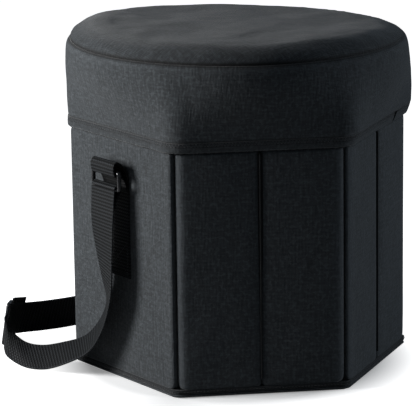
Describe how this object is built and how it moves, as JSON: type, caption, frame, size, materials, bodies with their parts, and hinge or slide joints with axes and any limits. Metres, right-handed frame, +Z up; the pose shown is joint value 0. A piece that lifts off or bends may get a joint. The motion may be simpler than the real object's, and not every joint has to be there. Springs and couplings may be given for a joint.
{
  "type": "folding cooler stool",
  "caption": "Hexagonal folding cooler stool with a padded round lid seat, walls that fold flat on cloth hinges, and a webbing shoulder strap on rings.",
  "frame": {"origin": "on the floor under the middle of the hexagonal body", "axes": "+Z up; -Y is the front corner between the two folding front faces; -X is the left wall and +X the right wall, which carry the strap's rings; the lid is hinged along +X"},
  "size_m": [0.3904, 0.3713, 0.3429],
  "materials": {
    "cover": "dark charcoal woven polyester, matt",
    "seat": "dark charcoal woven polyester over foam, matt",
    "trim": "charcoal polyester binding, matt",
    "lining": "pale grey wipe-clean film on foam",
    "foam": "closed-cell foam, hidden",
    "board": "thin fibreboard, hidden",
    "webbing": "black polyester webbing",
    "plastic": "black moulded plastic, semi-gloss",
    "zip": "black zip tape with coil",
    "zip_metal": "black enamelled metal"
  },
  "bodies": {
    "base": {"right_sleeve": "cover", "right_padding": "foam", "right_board": "board", "lid_hinge_strip": "trim", "bottom_cover": "trim", "bottom_board": "board", "anchor_right": "webbing", "strap": "webbing", "strap_tail": "webbing", "strap_adjuster": "plastic"},
    "front_right_outer": {"front_right_outer_sleeve": "cover", "front_right_outer_padding": "foam", "front_right_outer_board": "board", "front_right_outer_zip_tape": "zip"},
    "front_right_inner": {"front_right_inner_sleeve": "cover", "front_right_inner_padding": "foam", "front_right_inner_board": "board", "front_right_inner_zip_tape": "zip"},
    "front_left_inner": {"front_left_inner_sleeve": "cover", "front_left_inner_padding": "foam", "front_left_inner_board": "board", "front_left_inner_zip_tape": "zip"},
    "front_left_outer": {"front_left_outer_sleeve": "cover", "front_left_outer_padding": "foam", "front_left_outer_board": "board", "front_left_outer_zip_tape": "zip"},
    "left": {"left_sleeve": "cover", "left_padding": "foam", "left_board": "board", "left_zip_tape": "zip", "anchor_left": "webbing"},
    "back_right_outer": {"back_right_outer_sleeve": "cover", "back_right_outer_padding": "foam", "back_right_outer_board": "board", "back_right_outer_zip_tape": "zip"},
    "back_right_inner": {"back_right_inner_sleeve": "cover", "back_right_inner_padding": "foam", "back_right_inner_board": "board", "back_right_inner_zip_tape": "zip"},
    "back_left_inner": {"back_left_inner_sleeve": "cover", "back_left_inner_padding": "foam", "back_left_inner_board": "board", "back_left_inner_zip_tape": "zip"},
    "back_left_outer": {"back_left_outer_sleeve": "cover", "back_left_outer_padding": "foam", "back_left_outer_board": "board", "back_left_outer_zip_tape": "zip"},
    "lid": {"lid_hem": "trim", "lid_skirt": "seat", "lid_crown": "seat", "lid_lining": "lining", "seat_board": "board", "seat_foam": "foam", "lid_zip_tape": "zip"},
    "slider": {"zip_slider": "zip_metal"},
    "pull": {"zip_pull": "zip_metal"},
    "ring_left": {"ring_left": "plastic", "strap_end_left": "webbing"},
    "ring_right": {"ring_right": "plastic", "strap_end_right": "webbing"}
  },
  "joints": [
    {"name": "walls_fold", "type": "hinge", "parent": "base", "child": "front_right_outer", "pos_m": [0.13559, -0.07828, 0.125], "axis": [0, 0, 1], "range_deg": [-120, 0], "deforming": ["strap", "strap_tail", "strap_adjuster"]},
    {"name": "front_right_crease", "type": "hinge", "parent": "front_right_outer", "child": "front_right_inner", "pos_m": [0.0748, -0.12955, 0.125], "axis": [0, 0, 1], "range_deg": [0, 180]},
    {"name": "front_corner", "type": "hinge", "parent": "front_right_inner", "child": "front_left_inner", "pos_m": [0, -0.15657, 0.125], "axis": [0, 0, 1], "range_deg": [-120, 0]},
    {"name": "front_left_crease", "type": "hinge", "parent": "front_left_inner", "child": "front_left_outer", "pos_m": [-0.0748, -0.12955, 0.125], "axis": [0, 0, 1], "range_deg": [0, 180]},
    {"name": "left_front_corner", "type": "hinge", "parent": "front_left_outer", "child": "left", "pos_m": [-0.13559, -0.07828, 0.125], "axis": [0, 0, 1], "range_deg": [-120, 0]},
    {"name": "right_back_corner", "type": "hinge", "parent": "base", "child": "back_right_outer", "pos_m": [0.13559, 0.07828, 0.125], "axis": [0, 0, 1], "range_deg": [0, 120]},
    {"name": "back_right_crease", "type": "hinge", "parent": "back_right_outer", "child": "back_right_inner", "pos_m": [0.0748, 0.12955, 0.125], "axis": [0, 0, 1], "range_deg": [-180, 0]},
    {"name": "back_corner", "type": "hinge", "parent": "back_right_inner", "child": "back_left_inner", "pos_m": [0, 0.15657, 0.125], "axis": [0, 0, 1], "range_deg": [0, 120]},
    {"name": "back_left_crease", "type": "hinge", "parent": "back_left_inner", "child": "back_left_outer", "pos_m": [-0.0748, 0.12955, 0.125], "axis": [0, 0, 1], "range_deg": [-180, 0]},
    {"name": "lid_open", "type": "hinge", "parent": "base", "child": "lid", "pos_m": [0.15149, 0, 0.24345], "axis": [0, 1, 0], "range_deg": [0, 105]},
    {"name": "zip_slide", "type": "slide", "parent": "lid", "child": "slider", "axis": [-0.866, -0.5, 0], "range_m": [0, 0.08]},
    {"name": "pull_turn", "type": "hinge", "parent": "slider", "child": "pull", "pos_m": [0.10439, -0.11281, 0.249], "axis": [0.5, -0.866, 0], "range_deg": [0, 90]},
    {"name": "ring_left_swing", "type": "hinge", "parent": "left", "child": "ring_left", "pos_m": [-0.16349, 0, 0.215], "axis": [0, 1, 0], "range_deg": [-15, 15], "deforming": ["strap"]},
    {"name": "ring_right_swing", "type": "hinge", "parent": "base", "child": "ring_right", "pos_m": [0.16349, 0, 0.215], "axis": [0, 1, 0], "range_deg": [-15, 15], "deforming": ["strap"]}
  ],
  "couplings": [
    {"joint": "front_right_crease", "follows": "walls_fold", "ratio": -1.5},
    {"joint": "front_corner", "follows": "walls_fold", "ratio": 1},
    {"joint": "front_left_crease", "follows": "walls_fold", "ratio": -1.5},
    {"joint": "left_front_corner", "follows": "walls_fold", "ratio": 1},
    {"joint": "right_back_corner", "follows": "walls_fold", "ratio": -1},
    {"joint": "back_right_crease", "follows": "walls_fold", "ratio": 1.5},
    {"joint": "back_corner", "follows": "walls_fold", "ratio": -1},
    {"joint": "back_left_crease", "follows": "walls_fold", "ratio": 1.5}
  ]
}
